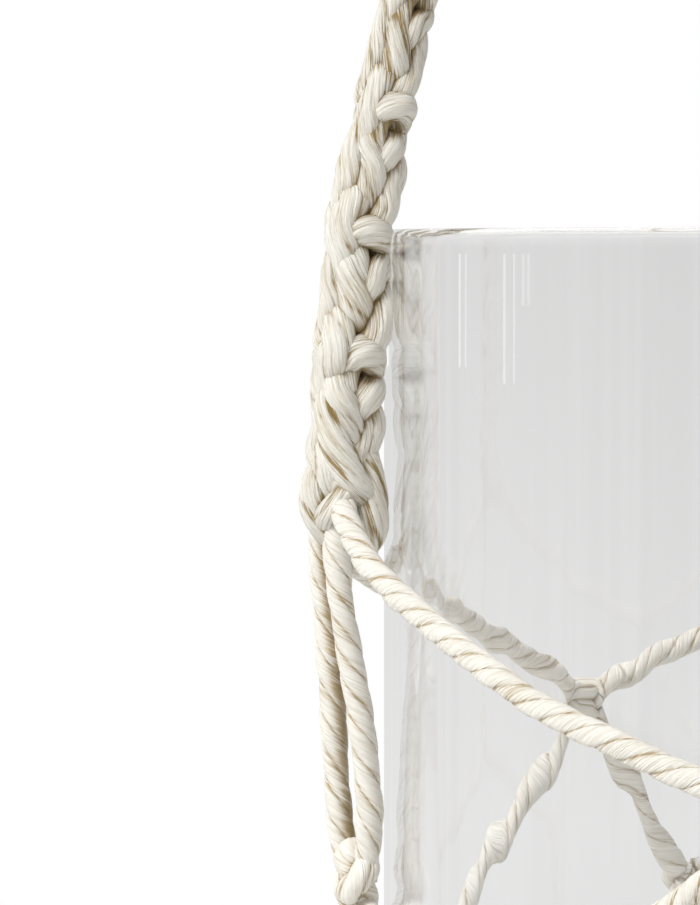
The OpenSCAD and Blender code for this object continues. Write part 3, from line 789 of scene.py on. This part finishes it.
# Candle and wick: a poured pillar of white wax, its top dished where it has set, and a braided
# cotton wick with a charred tip. The candle stands a hair above the glass's floor.
candle_low, candle_high = (np.array(c) * 1000 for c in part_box("candle"))
wick_high = np.array(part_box("wick")[1]) * 1000
candle_low[2] += 0.05
candle_r = candle_high[0]
candle_edge = 3.0
hole_r = 1.05
hole_deep = 40
wick_d = 1.8
dish = np.linspace(candle_r - candle_edge - 1, hole_r + 0.5, 14)
candle_profile = np.vstack([
    [[0, candle_low[2]]],
    np.stack([np.linspace(2, candle_r - candle_edge - 1, 10), np.full(10, candle_low[2])], 1),
    round_corner((candle_r - candle_edge, candle_low[2] + candle_edge), candle_edge, -90, 0, 7),
    np.stack([np.full(24, candle_r), np.linspace(candle_low[2] + 6, candle_high[2] - 6, 24)], 1),
    round_corner((candle_r - candle_edge, candle_high[2] - candle_edge), candle_edge, 0, 90, 9),
    np.stack([dish, candle_high[2] - 1.6 * np.cos(np.pi / 2 * dish / (candle_r - candle_edge))**2], 1),
    [[hole_r, candle_high[2] - 2.2], [hole_r, candle_high[2] - hole_deep],
     [0, candle_high[2] - hole_deep]]])
pour = chance.random(5) * 2 * np.pi


def candle_wander(w):
    """The side is not quite round: it dips by the size of three slow cosine waves' sum, which is about a
    tenth of a millimetre at most."""
    waves = sum(0.07 / (1 + k) * np.cos((2 + 3 * k) * w + pour[k]) for k in range(3))
    return -np.abs(waves) * np.ones((len(candle_profile) - 2, 1)) * (candle_profile[1:-1, 0, None] > 5)


wax, tree, shader = new_material("poured_wax", Roughness=0.48, Subsurface_Weight=0.35, Subsurface_Scale=0.006,
                                 Coat_Weight=0.08, Coat_Roughness=0.35, Specular_IOR_Level=0.4)
here = new_node(tree, "ShaderNodeTexCoord").outputs["Object"]
mottle = new_node(tree, "ShaderNodeTexNoise", Vector=here, Scale=90.0, Detail=4.0)
bloom = ramp(tree, mottle.outputs["Fac"], (0.3, (0.80, 0.76, 0.66)), (0.7, (0.88, 0.85, 0.77)))
tree.links.new(bloom, shader.inputs["Base Color"])
pits = new_node(tree, "ShaderNodeTexNoise", Vector=here, Scale=700.0, Detail=2.0)
bump = new_node(tree, "ShaderNodeBump", Height=pits.outputs["Fac"], Strength=0.15, Distance=0.0004)
tree.links.new(bump.outputs[0], shader.inputs["Normal"])
make_piece("candle", [revolved(candle_profile, 128, candle_wander)], wax, "wax", "candle", "candle")

wick_cotton, tree, shader = new_material("charred_wick", Roughness=0.9)
here = new_node(tree, "ShaderNodeTexCoord").outputs["Object"]
up = new_node(tree, "ShaderNodeSeparateXYZ", Vector=here).outputs[2]
burn = new_node(tree, "ShaderNodeMapRange", Value=up, From_Min=(wick_high[2] - 7) / 1000,
                From_Max=(wick_high[2] - 2.5) / 1000)
wick_clean = (0.74, 0.70, 0.60)
wick_brown = (0.20, 0.14, 0.09)
wick_black = (0.012, 0.011, 0.010)
char = ramp(tree, burn.outputs[0], (0.0, wick_clean), (0.5, wick_brown), (0.9, wick_black))
tree.links.new(char, shader.inputs["Base Color"])
rub = new_node(tree, "ShaderNodeTexNoise", Vector=here, Scale=2500.0, Detail=2.0)
bump = new_node(tree, "ShaderNodeBump", Height=rub.outputs["Fac"], Strength=0.4, Distance=0.0002)
tree.links.new(bump.outputs[0], shader.inputs["Normal"])
wick_line = np.linspace([0, 0, candle_high[2] - hole_deep + 0.5], [0, 0, wick_high[2] - 0.2], 100)
wick_skin = tube_skin(*laid_cord(wick_line, thick=wick_d, lay=2.2, sides=10))
make_piece("wick", [wick_skin], wick_cotton, "wick", "candle", "wick")

# Studio: a pale floor below the lantern, a white surround, broad soft lamps that don't show in the
# glass, and four short narrow ones that it picks up as upright streaks.
floor_z = cad_low.z - 0.04
floor_r = 1.3
w = np.linspace(0, 2 * np.pi, 96, endpoint=False)
floor_edge = np.stack([floor_r * np.cos(w), floor_r * np.sin(w), np.full(96, floor_z)], 1)
floor_mesh = bpy.data.meshes.new("floor")
floor_mesh.from_pydata(floor_edge.tolist(), [], [list(range(96))])
floor_paint, tree, shader = new_material("pale_floor", Base_Color=(0.86, 0.86, 0.85, 1), Roughness=0.7)
floor_mesh.materials.append(floor_paint)
floor = bpy.data.objects.new("floor", floor_mesh)
bpy.context.scene.collection.objects.link(floor)


def white_surround():
    """White behind the lantern. The cotton gets it dimmed. The glass shows it greyer, by the sum of a
    base, more towards the floor, less behind the camera, and noise drawn out into upright stripes."""
    surround = bpy.data.worlds.new("surround")
    surround.use_nodes = True
    tree = surround.node_tree
    tree.nodes.clear()
    path = new_node(tree, "ShaderNodeLightPath")
    seen = new_node(tree, "ShaderNodeBackground", Color=(1, 1, 1, 1), Strength=1.0)
    sight = new_node(tree, "ShaderNodeNewGeometry").outputs["Incoming"]
    toward = new_node(tree, "ShaderNodeSeparateXYZ", Vector=sight)
    level = maths(tree, "MINIMUM", maths(tree, "MAXIMUM", toward.outputs[2], -0.12), 0.12)
    lower = maths(tree, "MULTIPLY_ADD", level, 0.75, 0.715)
    behind = new_node(tree, "ShaderNodeMapRange", Value=toward.outputs[1], From_Min=-0.2, From_Max=0.4,
                      To_Max=-0.13)
    stripes = new_node(tree, "ShaderNodeMapping", Vector=sight, Scale=(24, 24, 0.6))
    stripe = new_node(tree, "ShaderNodeTexNoise", Vector=stripes.outputs[0], Scale=1.0, Detail=4.0,
                      Roughness=0.7).outputs["Fac"]
    striped = maths(tree, "MULTIPLY_ADD", stripe, 0.22, lower)
    shown = maths(tree, "ADD", striped, maths(tree, "ADD", behind.outputs[0], -0.11))
    unseen = new_node(tree, "ShaderNodeBackground", Color=(1.0, 0.997, 0.995, 1), Strength=shown)
    dim = new_node(tree, "ShaderNodeBackground", Color=(1.0, 0.985, 0.96, 1), Strength=0.47)
    lit = new_node(tree, "ShaderNodeMixShader", n0=path.outputs["Is Diffuse Ray"], n1=unseen.outputs[0],
                   n2=dim.outputs[0])
    mixed = new_node(tree, "ShaderNodeMixShader", n0=path.outputs["Is Camera Ray"], n1=lit.outputs[0],
                     n2=seen.outputs[0])
    new_node(tree, "ShaderNodeOutputWorld", Surface=mixed.outputs[0])
    return surround


bpy.context.scene.world = white_surround()


def soft_lamp(name, at, aim, width, height, power, glints=False):
    """A flat soft lamp that faces a point. Only a lamp that glints shows in the glass."""
    lamp = bpy.data.lights.new(name, "AREA")
    lamp.shape = "RECTANGLE"
    lamp.size = width
    lamp.size_y = height
    lamp.energy = power
    holder = bpy.data.objects.new(name, lamp)
    holder.location = at
    way = np.array(aim) - np.array(at)
    tilt = math.atan2(math.hypot(way[0], way[1]), -way[2])
    holder.rotation_euler = (tilt, 0, math.atan2(way[1], way[0]) - math.pi / 2)
    holder.visible_glossy = glints
    holder.visible_transmission = glints
    bpy.context.scene.collection.objects.link(holder)


aim = (0, 0, rim_height)
soft_lamp("key", (-1.2, -0.9, rim_height + 1.3), aim, 0.8, 0.8, 40)
soft_lamp("fill", (1.5, -0.9, rim_height + 0.2), aim, 0.9, 1.4, 5)
soft_lamp("top", (0.2, 0.5, rim_height + 1.6), aim, 1.2, 1.2, 8)
slit_away = 1.3
slit_wide = 0.018
slits = [(138, 0.034, 0.0022), (120, 0.044, 0.0036), (105, 0.05, 0.0050), (99.5, 0.02, 0.0014)]
for k, (turn, tall, power) in enumerate(slits):
    w = math.radians(turn)
    at = (-slit_away * math.sin(w), -slit_away * math.cos(w), rim_height - 0.004 - tall / 2)
    soft_lamp(f"slit_{k + 1}", at, (0, 0, at[2]), slit_wide, tall, power, True)
bpy.context.scene.view_settings.view_transform = "Standard"
bpy.context.scene.cycles.max_bounces = 32
bpy.context.scene.cycles.transmission_bounces = 32
bpy.context.scene.cycles.glossy_bounces = 8
